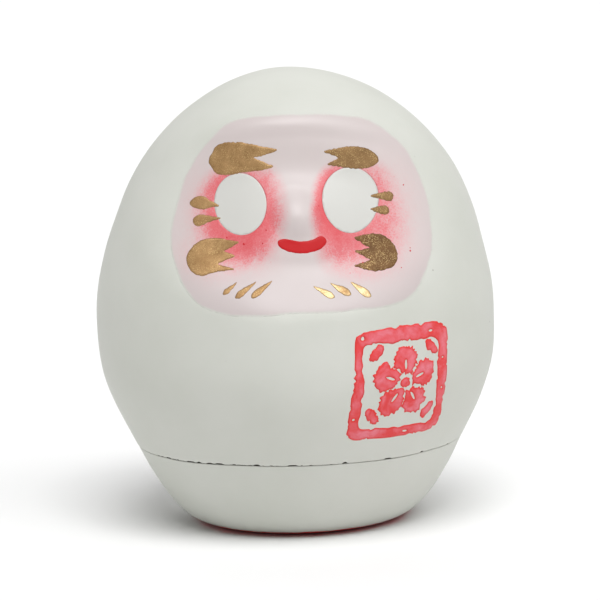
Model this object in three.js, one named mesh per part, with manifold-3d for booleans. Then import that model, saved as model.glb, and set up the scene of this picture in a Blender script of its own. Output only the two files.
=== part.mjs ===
// Daruma doll: an egg of moulded paper on a bowl-shaped base, with a clay weight inside and a
// painted face pressed into the front. Millimetres, +Z up, the face looks towards -Y, and the
// origin is the centre of the flat foot.
import * as THREE from 'three';
import { mergeVertices } from 'three/addons/utils/BufferGeometryUtils.js';
import Module from 'manifold-3d';

const wasm = await Module();
wasm.setup();

// ---- Driving dimensions ----

const HEIGHT = 130;
const WAIST_RADIUS = 57.3;
const WAIST_Z = 60.2;
const SEAM_RADIUS = 47.4;
const SEAM_Z = 23.4;
const FOOT_RADIUS = 24;
const WALL = 2;
const GAP = 0.3; // left between neighbouring pieces
const SEGMENTS = 64; // around the doll

// The outline's curve handles: how far each stretch runs straight on from its ends.
const CROWN_HANDLE = 39.8;
const SHOULDER_HANDLE = 22.1;
const BELLY_HANDLE = 11.5;
const SEAM_HANDLE = 22.2;
const BOWL_HANDLE = 20;
const FOOT_HANDLE = 9.8;
const SEAM_SLOPE = THREE.MathUtils.degToRad(28); // of the wall at the seam, from upright

// The face: a hollow dish with a lip over its top and a nose in it.
const FACE_Z = 91;
const FACE_HALF_WIDTH = 46;
const FACE_HALF_HEIGHT = 27.5;
const FACE_ROUNDNESS = 2.3; // 2 is an ellipse, more is squarer
const FACE_DEPTH = 6.5;
const FACE_SHOULDER = 0.6; // the part of the dish that its sloping side takes
const LIP_HEIGHT = 1.5;
const LIP_SPREAD = 0.24;
const LIP_START_Z = 100;
const LIP_RISE = 14;
const NOSE_Z = 92;
const NOSE_HALF_WIDTH = 8;
const NOSE_HALF_HEIGHT = 8;
const NOSE_HEIGHT = 2.6;
const FRONT_FADE = 0.5; // the relief fades out from here to the doll's sides

// The shoulder on the +X side is fuller than the other one, as the hand-shaped shell is.
const FULLNESS = 2;
const FULLNESS_Z = 105;
const FULLNESS_REACH = 31;
const CROWN_RADIUS = 25; // the fullness fades out inside this radius

// ---- Materials ----

function paint(color, roughness, metalness = 0) {
  return new THREE.MeshStandardMaterial({ color, roughness, metalness });
}

const SHELL_PAINT = paint(0xd6d7d1, 0.45);
const BASE_PAINT = paint(0xd2d4cc, 0.45);
const FACE_PAINT = paint(0xe2d6d6, 0.35);
const EYE_PAINT = paint(0xdcdbd7, 0.5);
const GOLD_PAINT = paint(0xae8b5a, 0.4, 0.8);
const MOUTH_PAINT = paint(0xcd2d32, 0.35);
const SEAL_INK = paint(0xdf5f62, 0.5);
const CLAY = paint(0x9a7b5c, 0.9);
const GLUE = paint(0xd8c48a, 0.4);

// ---- Solids ----

function toSolid(geometry) {
  geometry.deleteAttribute('normal');
  geometry.deleteAttribute('uv');
  const merged = mergeVertices(geometry, 1e-3);
  const mesh = new wasm.Mesh({
    numProp: 3,
    vertProperties: new Float32Array(merged.getAttribute('position').array),
    triVerts: new Uint32Array(merged.getIndex().array),
  });
  return new wasm.Manifold(mesh);
}

function fromSolid(solid) {
  const mesh = solid.getMesh();
  const geometry = new THREE.BufferGeometry();
  geometry.setAttribute('position', new THREE.Float32BufferAttribute(mesh.vertProperties, 3));
  geometry.setIndex(new THREE.Uint32BufferAttribute(mesh.triVerts, 1));
  geometry.computeVertexNormals();
  return geometry;
}

const doll = new THREE.Group();

function addPiece(name, geometry, material) {
  const mesh = new THREE.Mesh(geometry, material);
  mesh.name = name;
  doll.add(mesh);
}

// ---- The egg's outline and the face's relief ----

function smooth(t) {
  return THREE.MathUtils.smoothstep(t, 0, 1);
}

function bump(t) {
  return Math.abs(t) < 1 ? (1 - t * t) ** 2 : 0;
}

const slopeAcross = Math.sin(SEAM_SLOPE);
const slopeUp = Math.cos(SEAM_SLOPE);

const dome = new THREE.CubicBezierCurve(
  new THREE.Vector2(0, HEIGHT),
  new THREE.Vector2(CROWN_HANDLE, HEIGHT),
  new THREE.Vector2(WAIST_RADIUS, WAIST_Z + SHOULDER_HANDLE),
  new THREE.Vector2(WAIST_RADIUS, WAIST_Z),
);
const belly = new THREE.CubicBezierCurve(
  new THREE.Vector2(WAIST_RADIUS, WAIST_Z),
  new THREE.Vector2(WAIST_RADIUS, WAIST_Z - BELLY_HANDLE),
  new THREE.Vector2(SEAM_RADIUS + SEAM_HANDLE * slopeAcross, SEAM_Z + SEAM_HANDLE * slopeUp),
  new THREE.Vector2(SEAM_RADIUS, SEAM_Z),
);
const bowl = new THREE.CubicBezierCurve(
  new THREE.Vector2(SEAM_RADIUS, SEAM_Z - GAP),
  new THREE.Vector2(SEAM_RADIUS - BOWL_HANDLE * slopeAcross, SEAM_Z - BOWL_HANDLE * slopeUp),
  new THREE.Vector2(FOOT_RADIUS + FOOT_HANDLE, 0),
  new THREE.Vector2(FOOT_RADIUS, 0),
);

// Points on a curve, each moved out along the curve's normal. skin keeps the point on the curve,
// because the relief of every layer is worked out there.
function offsetPoints(curve, steps, offset) {
  const points = [];
  for (let i = 0; i <= steps; i += 1) {
    const skin = curve.getPoint(i / steps);
    const along = curve.getTangent(i / steps);
    const at = new THREE.Vector2(skin.x - along.y * offset, skin.y + along.x * offset);
    at.x = Math.max(at.x, 0);
    points.push({ at, skin });
  }
  return points;
}

function eggPoints(offset, domeSteps, bellySteps) {
  const upper = offsetPoints(dome, domeSteps, offset);
  const lower = offsetPoints(belly, bellySteps, offset);
  return upper.concat(lower.slice(1));
}

// How far the skin moves back, towards +Y, at a place on the front.
function relief(x, z, facing) {
  const across = Math.abs(x) / FACE_HALF_WIDTH;
  const up = Math.abs(z - FACE_Z) / FACE_HALF_HEIGHT;
  const reach = (across ** FACE_ROUNDNESS + up ** FACE_ROUNDNESS) ** (1 / FACE_ROUNDNESS);
  const hollow = FACE_DEPTH * smooth((1 - reach) / FACE_SHOULDER);
  const lip = LIP_HEIGHT * bump((reach - 1) / LIP_SPREAD) * smooth((z - LIP_START_Z) / LIP_RISE);
  const nose = NOSE_HEIGHT * bump(Math.hypot(x / NOSE_HALF_WIDTH, (z - NOSE_Z) / NOSE_HALF_HEIGHT));
  return (hollow - lip - nose) * smooth(facing / FRONT_FADE);
}

// How far the skin stands out from the turned outline on the fuller shoulder.
function fullness(radius, z, sideways) {
  const size = FULLNESS * bump((z - FULLNESS_Z) / FULLNESS_REACH) * Math.max(sideways, 0) ** 2;
  return size * smooth(radius / CROWN_RADIUS);
}

// A profile turned about the doll's axis, with the relief pressed into its front.
function turned(profile) {
  const geometry = new THREE.LatheGeometry(profile.map((point) => point.at), SEGMENTS);
  geometry.rotateX(Math.PI / 2);
  const position = geometry.getAttribute('position');
  for (let i = 0; i < position.count; i += 1) {
    const skin = profile[i % profile.length].skin;
    const turn = Math.floor(i / profile.length) * (2 * Math.PI / SEGMENTS);
    const sideways = Math.sin(turn);
    const facing = Math.cos(turn);
    if (skin !== undefined) {
      const out = fullness(skin.x, skin.y, sideways);
      const back = facing > 0 ? relief(skin.x * sideways, skin.y, facing) : 0;
      position.setX(i, position.getX(i) + out * sideways);
      position.setY(i, position.getY(i) - out * facing + back);
    }
  }
  return geometry;
}

// ---- The four pieces ----

const DOME_STEPS = 20;
const BELLY_STEPS = 9;
const INNER_DOME_STEPS = 11;
const INNER_BELLY_STEPS = 4;

function bodyShell() {
  const inside = eggPoints(-WALL, INNER_DOME_STEPS, INNER_BELLY_STEPS);
  const outside = eggPoints(0, DOME_STEPS, BELLY_STEPS);
  return toSolid(turned(inside.concat(outside.reverse())));
}

const FLOOR = 2.5; // the bowl's thickness at the foot
const COLLAR_HEIGHT = 5;
const COLLAR_WALL = 1.8;
const collarRadius = SEAM_RADIUS - WALL / slopeUp - GAP;
const collarTop = SEAM_Z + COLLAR_HEIGHT;
const BOWL_STEPS = 10;

function plain(x, y) {
  return { at: new THREE.Vector2(x, y) };
}

function bowlPoints(offset) {
  return offsetPoints(bowl, BOWL_STEPS, offset).map((point) => plain(point.at.x, point.at.y));
}

function insideBowl(clearance) {
  return bowlPoints(-FLOOR - clearance).filter((point) => point.at.x < collarRadius - COLLAR_WALL);
}

function baseBowl() {
  const profile = [
    plain(0, 0),
    ...bowlPoints(0).reverse(),
    plain(collarRadius, SEAM_Z - GAP),
    plain(collarRadius, collarTop),
    plain(collarRadius - COLLAR_WALL, collarTop),
    ...insideBowl(0),
    plain(0, FLOOR),
  ];
  return toSolid(turned(profile));
}

const CLAY_TOP = 15;
const CLAY_DOME = 3;

function clayWeight() {
  const side = insideBowl(GAP).filter((point) => point.at.y < CLAY_TOP).reverse();
  const edge = side.at(-1).at;
  const profile = [plain(0, FLOOR + GAP), ...side];
  profile.push(plain(edge.x * 0.6, edge.y + CLAY_DOME * 0.8));
  profile.push(plain(0, edge.y + CLAY_DOME));
  return toSolid(turned(profile));
}

const GLUE_TOP = collarTop - 0.5;
const GLUE_FOOT = SEAM_Z + 1.2;

function glueRing() {
  const insideWall = (z) => collarRadius + (z - SEAM_Z) * Math.tan(SEAM_SLOPE);
  const profile = [
    plain(collarRadius + GAP, GLUE_FOOT),
    plain(insideWall(GLUE_FOOT), GLUE_FOOT),
    plain(insideWall(GLUE_TOP), GLUE_TOP),
    plain(collarRadius + GAP, GLUE_TOP),
    plain(collarRadius + GAP, GLUE_FOOT),
  ];
  return toSolid(turned(profile));
}

// ---- Paint films ----

// The space between two layers over the whole egg.
function layer(low, high) {
  const egg = (offset) => {
    const outline = eggPoints(offset, DOME_STEPS, BELLY_STEPS);
    return toSolid(turned([plain(0, outline.at(-1).at.y), ...outline.reverse()]));
  };
  return egg(high).subtract(egg(low));
}

const PANEL_LAYER = layer(0.05, 0.15);
const EYE_LAYER = layer(0.2, 0.3);
const MARK_LAYER = layer(0.35, 0.5);

const CURVE_STEPS = 5;
const PRISM_START = 5;
const PRISM_LENGTH = 70;

// An upright outline pushed through the front of the egg. heading turns it about the doll's
// axis, so 0 faces straight ahead.
function prism(shape, heading = 0) {
  const depth = PRISM_LENGTH - PRISM_START;
  const geometry = new THREE.ExtrudeGeometry(shape, {
    depth, bevelEnabled: false, curveSegments: CURVE_STEPS,
  });
  geometry.translate(0, 0, PRISM_START);
  geometry.rotateX(Math.PI / 2);
  geometry.rotateZ(heading);
  return toSolid(geometry);
}

function film(space, shapes, heading) {
  const cut = shapes.map((shape) => prism(shape, heading)).reduce((all, next) => all.add(next));
  return fromSolid(space.intersect(cut));
}

function ellipse(x, z, halfWidth, halfHeight) {
  const shape = new THREE.Shape();
  shape.absellipse(x, z, halfWidth, halfHeight, 0, 2 * Math.PI, false, 0);
  return shape;
}

// A closed smooth outline through a few points.
function loop(points, steps) {
  const curve = new THREE.CatmullRomCurve3(points.map(([x, z]) => new THREE.Vector3(x, z, 0)), true);
  return new THREE.Shape(curve.getPoints(steps).slice(0, -1).map((p) => new THREE.Vector2(p.x, p.y)));
}

const LEAF_FULLNESS = 2 / 3; // makes a leaf as wide as it says at its middle

// One stroke of the brush: a blunt root, a full middle and a pointed tip.
function stroke(root, tip, width) {
  const start = new THREE.Vector2(...root);
  const end = new THREE.Vector2(...tip);
  const along = end.clone().sub(start);
  const side = new THREE.Vector2(-along.y, along.x).setLength(width * LEAF_FULLNESS);
  const middle = start.clone().lerp(end, 0.5);
  const shape = new THREE.Shape();
  shape.moveTo(end.x, end.y);
  shape.bezierCurveTo(middle.x + side.x, middle.y + side.y, start.x + side.x, start.y + side.y,
    start.x, start.y);
  shape.bezierCurveTo(start.x - side.x, start.y - side.y, middle.x - side.x, middle.y - side.y,
    end.x, end.y);
  return shape;
}

const PANEL_OUTLINE = [
  [6, 118.5], [-10, 118], [-20.5, 115], [-27.5, 105.5], [-32, 94], [-33.5, 82], [-31, 72], [-25, 67.5],
  [-15, 66], [10, 66.2], [27, 67.5], [34, 73], [36.5, 82], [34.5, 97], [28.5, 108], [22, 114.5],
];
const PANEL_STEPS = 40;

const MOUTH_OUTLINE = [
  [-5, 84.2], [-2.9, 85.3], [1.6, 84.6], [6.5, 85.5], [7.9, 84.2], [5, 82], [0.6, 81.5], [-3.2, 82.5],
];
const MOUTH_STEPS = 16;

const EYES = {
  eye_left: ellipse(-14.7, 94.7, 7.1, 8),
  eye_right: ellipse(14.9, 94.9, 7.7, 8.7),
};

// Each gold mark is one or more strokes: root, tip and width.
const GOLD_MARKS = {
  brow_left: [
    [[-23, 106], [-4, 108.7], 6.4],
    [[-22.5, 104.6], [-5.5, 104.3], 4.4],
  ],
  brow_right: [
    [[24, 105.4], [8.4, 107.9], 4.6],
    [[23.5, 104.6], [9.5, 104.6], 3],
  ],
  temple_stroke_left_upper: [[[-28.6, 95.2], [-20, 94.4], 3.7]],
  temple_stroke_left_lower: [[[-28, 90.4], [-21.2, 90.8], 3.1]],
  temple_stroke_right_upper: [[[27.6, 95.1], [20.8, 95.8], 2.7]],
  temple_stroke_right_lower: [[[26.1, 91.7], [20.6, 92.2], 2.8]],
  cheek_tuft_left: [
    [[-29.4, 80], [-15.8, 84.8], 5.4],
    [[-30, 79], [-17.2, 81.1], 4.4],
    [[-29, 77.8], [-17.3, 78], 3.8],
  ],
  cheek_tuft_right: [
    [[27.4, 81.4], [16, 85.3], 5],
    [[27.8, 80.3], [15.7, 81.2], 4],
    [[27, 79.2], [15.6, 77.4], 4.4],
  ],
  chin_stroke_left_1: [[[-20.2, 71.6], [-16.4, 74.6], 1.6]],
  chin_stroke_left_2: [[[-17, 70.8], [-11.3, 74.7], 1.7]],
  chin_stroke_left_3: [[[-12.6, 70.8], [-7.2, 74.7], 1.6]],
  chin_stroke_right_1: [[[9.3, 70.1], [4.2, 73.4], 1.6]],
  chin_stroke_right_2: [[[13.4, 70.4], [8.6, 73.9], 1.7]],
  chin_stroke_right_3: [[[19.4, 69.8], [14.1, 73.6], 1.7]],
};

// The seal on the belly: a square frame stamped around a five-petalled blossom.
const SEAL_HEADING = THREE.MathUtils.degToRad(30);
const SEAL_Z = 45.8;
const SEAL_SIZE = 31;
const SEAL_CORNER = 3;
const SEAL_BORDER = 3;
const PETALS = 5;
const PETAL_RADIUS = 3.9;
const PETAL_CENTRE = 4.7; // from the blossom's middle

function roundedSquare(size, corner) {
  const half = size / 2;
  const inner = half - corner;
  const square = new THREE.Shape();
  for (let i = 0; i < 4; i += 1) {
    const turn = i * Math.PI / 2;
    const x = inner * Math.SQRT2 * Math.cos(turn + Math.PI / 4);
    const z = SEAL_Z + inner * Math.SQRT2 * Math.sin(turn + Math.PI / 4);
    square.absarc(x, z, corner, turn, turn + Math.PI / 2, false);
  }
  return square;
}

function sealFrame() {
  const frame = roundedSquare(SEAL_SIZE, SEAL_CORNER);
  frame.holes.push(roundedSquare(SEAL_SIZE - 2 * SEAL_BORDER, SEAL_CORNER - SEAL_BORDER / 2));
  return frame;
}

function blossomPetals() {
  const petals = [];
  for (let i = 0; i < PETALS; i += 1) {
    const turn = Math.PI / 2 + i * 2 * Math.PI / PETALS;
    const x = PETAL_CENTRE * Math.cos(turn);
    const z = SEAL_Z + PETAL_CENTRE * Math.sin(turn);
    petals.push(ellipse(x, z, PETAL_RADIUS, PETAL_RADIUS));
  }
  return petals;
}

// ---- Assembly ----

addPiece('body_shell', fromSolid(bodyShell()), SHELL_PAINT);
addPiece('base_bowl', fromSolid(baseBowl()), BASE_PAINT);
addPiece('clay_weight', fromSolid(clayWeight()), CLAY);
addPiece('glue_ring', fromSolid(glueRing()), GLUE);
addPiece('face_panel', film(PANEL_LAYER, [loop(PANEL_OUTLINE, PANEL_STEPS)]), FACE_PAINT);
for (const [name, outline] of Object.entries(EYES)) {
  addPiece(name, film(EYE_LAYER, [outline]), EYE_PAINT);
}
for (const [name, strokes] of Object.entries(GOLD_MARKS)) {
  addPiece(name, film(MARK_LAYER, strokes.map((parts) => stroke(...parts))), GOLD_PAINT);
}
addPiece('mouth', film(MARK_LAYER, [loop(MOUTH_OUTLINE, MOUTH_STEPS)]), MOUTH_PAINT);
addPiece('seal_frame', film(PANEL_LAYER, [sealFrame()], SEAL_HEADING), SEAL_INK);
addPiece('seal_blossom', film(PANEL_LAYER, blossomPetals(), SEAL_HEADING), SEAL_INK);

export default doll;
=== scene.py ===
"""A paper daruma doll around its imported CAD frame: shell, bowl, painted face, seal, floor and light.

Lengths are in millimetres until a mesh is made, which is in metres. The doll stands on z = 0 and
looks towards -Y. Angles around it are measured from straight ahead towards +X.
"""
import math

import bpy
import numpy as np
from mathutils import Matrix, Vector
from mathutils.geometry import delaunay_2d_cdt


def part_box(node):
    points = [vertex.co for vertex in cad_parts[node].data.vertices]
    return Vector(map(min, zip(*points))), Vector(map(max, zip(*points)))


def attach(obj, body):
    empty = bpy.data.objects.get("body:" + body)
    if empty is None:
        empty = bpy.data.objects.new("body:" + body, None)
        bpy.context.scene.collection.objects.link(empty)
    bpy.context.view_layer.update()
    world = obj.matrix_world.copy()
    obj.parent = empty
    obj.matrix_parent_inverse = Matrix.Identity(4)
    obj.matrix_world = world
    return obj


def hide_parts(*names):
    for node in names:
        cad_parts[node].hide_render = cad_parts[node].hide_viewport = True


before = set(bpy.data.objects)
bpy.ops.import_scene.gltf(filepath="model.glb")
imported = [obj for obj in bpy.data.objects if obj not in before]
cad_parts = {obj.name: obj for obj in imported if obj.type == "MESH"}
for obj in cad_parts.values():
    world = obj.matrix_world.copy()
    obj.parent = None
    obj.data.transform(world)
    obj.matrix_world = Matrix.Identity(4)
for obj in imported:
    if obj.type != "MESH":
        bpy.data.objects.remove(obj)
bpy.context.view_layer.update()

MM = 0.001


def box_mm(node):
    low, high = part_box(node)
    return [value / MM for value in low], [value / MM for value in high]


# ---- Driving dimensions, from the frame ----

shell_low, shell_high = box_mm("body_shell")
bowl_low, bowl_high = box_mm("base_bowl")
HEIGHT = shell_high[2]
WAIST_RADIUS = shell_high[0]
SEAM_Z = shell_low[2]
SEAM_RADIUS = bowl_high[0]
COLLAR_TOP = bowl_high[2]

# ---- The design's other dimensions ----

WAIST_Z = 60.2
FOOT_RADIUS = 24.0
WALL = 2.0
CROWN_HANDLE = 39.8
SHOULDER_HANDLE = 22.1
BELLY_HANDLE = 11.5
SEAM_HANDLE = 22.2
BOWL_HANDLE = 20.0
FOOT_HANDLE = 9.8
SEAM_SLOPE = math.radians(28)

FACE_Z = 91.0
FACE_HALF_WIDTH = 46.0
FACE_HALF_HEIGHT = 27.5
FACE_ROUNDNESS = 2.3
FACE_DEPTH = 6.5
FACE_SHOULDER = 0.6
LIP_HEIGHT = 1.5
LIP_SPREAD = 0.24
LIP_START_Z = 100.0
LIP_RISE = 14.0
NOSE_Z = 92.0
NOSE_HALF_WIDTH = 8.0
NOSE_HALF_HEIGHT = 8.0
NOSE_HEIGHT = 2.6
FRONT_FADE = 0.5

FULLNESS = 2.0  # of the shoulder on the +X side
FULLNESS_Z = 105.0
FULLNESS_REACH = 31.0
CROWN_RADIUS = 25.0


# ---- Camera ----

CAMERA_DISTANCE = 0.75
CAMERA_AZIMUTH = math.radians(1.5)
CAMERA_ELEVATION = math.radians(7.3)
CAMERA_ROLL = math.radians(1.78)
VIEW_WIDTH = 0.1734  # what the image spans at the doll
SENSOR = 36.0
SHIFT = (0.0086, -0.0116)  # of the image, as a share of its width


def make_camera():
    data = bpy.data.cameras.new("camera")
    camera = bpy.data.objects.new("camera", data)
    bpy.context.collection.objects.link(camera)
    data.sensor_width = SENSOR
    data.lens = SENSOR * CAMERA_DISTANCE / VIEW_WIDTH
    data.shift_x, data.shift_y = SHIFT
    flat = math.cos(CAMERA_ELEVATION)
    back = Vector((-math.sin(CAMERA_AZIMUTH) * flat, -math.cos(CAMERA_AZIMUTH) * flat,
                   math.sin(CAMERA_ELEVATION)))
    right = Vector((math.cos(CAMERA_AZIMUTH), -math.sin(CAMERA_AZIMUTH), 0))
    up = back.cross(right)
    turned_right = right * math.cos(CAMERA_ROLL) - up * math.sin(CAMERA_ROLL)
    turned_up = right * math.sin(CAMERA_ROLL) + up * math.cos(CAMERA_ROLL)
    rotation = Matrix((turned_right, turned_up, back)).transposed().to_4x4()
    middle = Vector((0, 0, HEIGHT * MM / 2))
    camera.matrix_world = Matrix.Translation(middle + back * CAMERA_DISTANCE) @ rotation
    bpy.context.scene.camera = camera


# ---- The doll's skin ----

def smooth(t):
    t = np.clip(t, 0, 1)
    return t * t * (3 - 2 * t)


def bump(t):
    return np.where(np.abs(t) < 1, (1 - t * t) ** 2, 0.0)


def bezier(points, steps):
    """Places along a cubic curve and the outward normal at each, for a curve that runs down the doll."""
    t = np.linspace(0, 1, steps + 1)[:, None]
    a, b, c, d = [np.array(point, float) for point in points]
    place = (1 - t) ** 3 * a + 3 * (1 - t) ** 2 * t * b + 3 * (1 - t) * t * t * c + t ** 3 * d
    along = (1 - t) ** 2 * (b - a) + 2 * (1 - t) * t * (c - b) + t * t * (d - c)
    along = along / np.linalg.norm(along, axis=1)[:, None]
    normal = np.stack([-along[:, 1], along[:, 0]], 1)
    return place, normal


slope_across = math.sin(SEAM_SLOPE)
slope_up = math.cos(SEAM_SLOPE)
DOME = [(0, HEIGHT), (CROWN_HANDLE, HEIGHT), (WAIST_RADIUS, WAIST_Z + SHOULDER_HANDLE),
        (WAIST_RADIUS, WAIST_Z)]
BELLY = [(WAIST_RADIUS, WAIST_Z), (WAIST_RADIUS, WAIST_Z - BELLY_HANDLE),
         (SEAM_RADIUS + SEAM_HANDLE * slope_across, SEAM_Z + SEAM_HANDLE * slope_up),
         (SEAM_RADIUS, SEAM_Z)]


def bowl_curve(rim_z):
    return [(SEAM_RADIUS, rim_z),
            (SEAM_RADIUS - BOWL_HANDLE * slope_across, rim_z - BOWL_HANDLE * slope_up),
            (FOOT_RADIUS + FOOT_HANDLE, 0), (FOOT_RADIUS, 0)]


def egg_outline(dome_steps, belly_steps):
    upper, upper_normal = bezier(DOME, dome_steps)
    lower, lower_normal = bezier(BELLY, belly_steps)
    return np.vstack([upper, lower[1:]]), np.vstack([upper_normal, lower_normal[1:]])


OUTLINE, _ = egg_outline(3000, 1500)


def radius_at(height):
    return np.interp(height, OUTLINE[::-1, 1], OUTLINE[::-1, 0])


def relief(x, z, facing):
    """How far the face moves back, towards +Y."""
    across = np.abs(x) / FACE_HALF_WIDTH
    up = np.abs(z - FACE_Z) / FACE_HALF_HEIGHT
    reach = (across ** FACE_ROUNDNESS + up ** FACE_ROUNDNESS) ** (1 / FACE_ROUNDNESS)
    hollow = FACE_DEPTH * smooth((1 - reach) / FACE_SHOULDER)
    lip = LIP_HEIGHT * bump((reach - 1) / LIP_SPREAD) * smooth((z - LIP_START_Z) / LIP_RISE)
    nose = NOSE_HEIGHT * bump(np.hypot(x / NOSE_HALF_WIDTH, (z - NOSE_Z) / NOSE_HALF_HEIGHT))
    return (hollow - lip - nose) * smooth(facing / FRONT_FADE)


def fullness(radius, z, sideways):
    """How far the fuller shoulder stands out from the turned outline."""
    size = FULLNESS * bump((z - FULLNESS_Z) / FULLNESS_REACH) * np.maximum(sideways, 0) ** 2
    return size * smooth(radius / CROWN_RADIUS)


random = np.random.default_rng(12)
WAVES = 26
WAVE_LENGTHS = random.uniform(11, 48, WAVES)
WAVE_DIRECTIONS = random.normal(size=(WAVES, 3))
WAVE_DIRECTIONS /= np.linalg.norm(WAVE_DIRECTIONS, axis=1)[:, None]
WAVE_STARTS = random.uniform(0, 2 * math.pi, WAVES)
UNEVENNESS = 0.0011  # of each wave's length


def unevenness(places):
    """The slight lumps that hand-laid paper leaves, fading out at the flat foot."""
    total = np.zeros(len(places))
    for length, direction, start in zip(WAVE_LENGTHS, WAVE_DIRECTIONS, WAVE_STARTS):
        total += UNEVENNESS * length * np.sin(places @ direction * 2 * math.pi / length + start)
    return total * smooth((places[:, 2] - 0.5) / 6)


def skin(angle, radius, height, normal=None, inset=0.0):
    """Places on the doll, or inset from them along the outline's normal. All are arrays."""
    angle, radius, height = np.broadcast_arrays(*np.atleast_1d(angle, radius, height))
    facing = np.cos(angle)
    wide = radius + fullness(radius, height, np.sin(angle))
    x = wide * np.sin(angle)
    y = -wide * facing
    places = np.stack([x, y, height], 1).astype(float)
    outward = places - np.array([0, 0, WAIST_Z])
    outward /= np.linalg.norm(outward, axis=1)[:, None]
    moved = places + outward * unevenness(places)[:, None]
    moved[:, 1] += np.where(facing > 0, relief(radius * np.sin(angle), height, facing), 0)
    if normal is not None:
        flat = normal[0] * inset
        moved -= np.stack([np.sin(angle) * flat, -facing * flat, np.full(len(x), normal[1] * inset)], 1)
    return moved


def plane_skin(across, height, heading):
    """The skin behind places on an upright plane that faces along heading."""
    radius = radius_at(height)
    angle = heading + np.arcsin(np.clip(across / radius, -1, 1))
    return skin(angle, radius, height)


def plane_normals(across, height, heading):
    step = 0.15
    sideways = plane_skin(across + step, height, heading) - plane_skin(across - step, height, heading)
    upward = plane_skin(across, height + step, heading) - plane_skin(across, height - step, heading)
    normals = np.cross(sideways, upward)
    return normals / np.linalg.norm(normals, axis=1)[:, None]


# ---- Mesh making ----

def new_object(name, places, faces, material_slots, face_slots=None):
    mesh = bpy.data.meshes.new(name)
    mesh.from_pydata((places * MM).tolist(), [], faces)
    mesh.shade_smooth()
    for material in material_slots:
        mesh.materials.append(material)
    if face_slots is not None:
        mesh.polygons.foreach_set("material_index", face_slots)
    piece = bpy.data.objects.new(name, mesh)
    bpy.context.collection.objects.link(piece)
    return piece


def add_value(piece, name, values):
    attribute = piece.data.attributes.new(name, "FLOAT", "POINT")
    attribute.data.foreach_set("value", np.asarray(values, dtype=np.float32))


SEGMENTS = 480
FRONT_DENSITY = 0.35  # draws the segments towards the front, where the chips show


def ring_angles():
    even = np.arange(SEGMENTS) * 2 * math.pi / SEGMENTS
    return even - FRONT_DENSITY * np.sin(even)


def revolve(name, first, rings, last, materials, ring_slots):
    """A closed solid from its first pole over the rings to its last pole."""
    places = np.vstack([first] + rings + [last])
    faces = []
    face_slots = []
    nearest = [1 + j for j in range(SEGMENTS)]
    for j in range(SEGMENTS):
        faces.append((0, nearest[(j + 1) % SEGMENTS], nearest[j]))
        face_slots.append(ring_slots[0])
    for i in range(len(rings) - 1):
        low = 1 + i * SEGMENTS
        high = low + SEGMENTS
        for j in range(SEGMENTS):
            k = (j + 1) % SEGMENTS
            faces.append((low + j, low + k, high + k, high + j))
            face_slots.append(ring_slots[i])
    top = len(places) - 1
    furthest = 1 + (len(rings) - 1) * SEGMENTS
    for j in range(SEGMENTS):
        faces.append((furthest + j, furthest + (j + 1) % SEGMENTS, top))
        face_slots.append(ring_slots[-1])
    return new_object(name, places, faces, materials, face_slots)


# ---- Chips along the seam ----

# Where the paint has chipped off the shell's rim at the front: degrees around, width and height.
FRONT_CHIPS = [
    (-58, 1.0, 0.25), (-52, 2.6, 0.35), (-47, 0.9, 0.4), (-41, 3.4, 0.3), (-37.5, 0.9, 0.45),
    (-33, 2.2, 0.35), (-29.5, 2.8, 0.4), (-24, 1.4, 0.3), (-16, 1.8, 0.45), (-4, 3.0, 0.32),
    (2, 0.9, 0.26), (13.5, 1.5, 0.5), (29, 2.6, 0.36), (44, 1.2, 0.42), (60, 1.6, 0.25),
]
SMALL_CHIPS = 70
BACK_CHIPS = 40


def chip_list():
    chips = list(FRONT_CHIPS)
    for _ in range(SMALL_CHIPS):
        chips.append((random.normal(-35, 16), random.uniform(0.3, 0.9), random.uniform(0.08, 0.22)))
    for _ in range(BACK_CHIPS):
        chips.append((random.uniform(75, 290), random.uniform(0.6, 2.6), random.uniform(0.12, 0.4)))
    return chips


CHIPS = chip_list()


def chipping(angle):
    """How far the shell's rim is broken away upwards, around the doll."""
    total = 0.03 + 0.03 * np.sin(angle * 37) * np.sin(angle * 23 + 1)
    for degrees, width, height in CHIPS:
        away = np.angle(np.exp(1j * (angle - math.radians(degrees)))) * SEAM_RADIUS
        total = np.maximum(total, height * np.clip(1.6 - 1.6 * (2 * away / width) ** 2, 0, 1))
    return total


# ---- Body shell and bowl ----

DOME_RINGS = 104
BELLY_RINGS = 44
INNER_DOME_RINGS = 24
INNER_BELLY_RINGS = 8
EDGE_ROUNDING = 0.25
EDGE_STEPS = 4
SEAM_WIDTH = 0.14
CHIP_REACH = 1.2  # how far up the wall the rim's damage moves the rings

PAINTED = 0
RAW = 1


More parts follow.
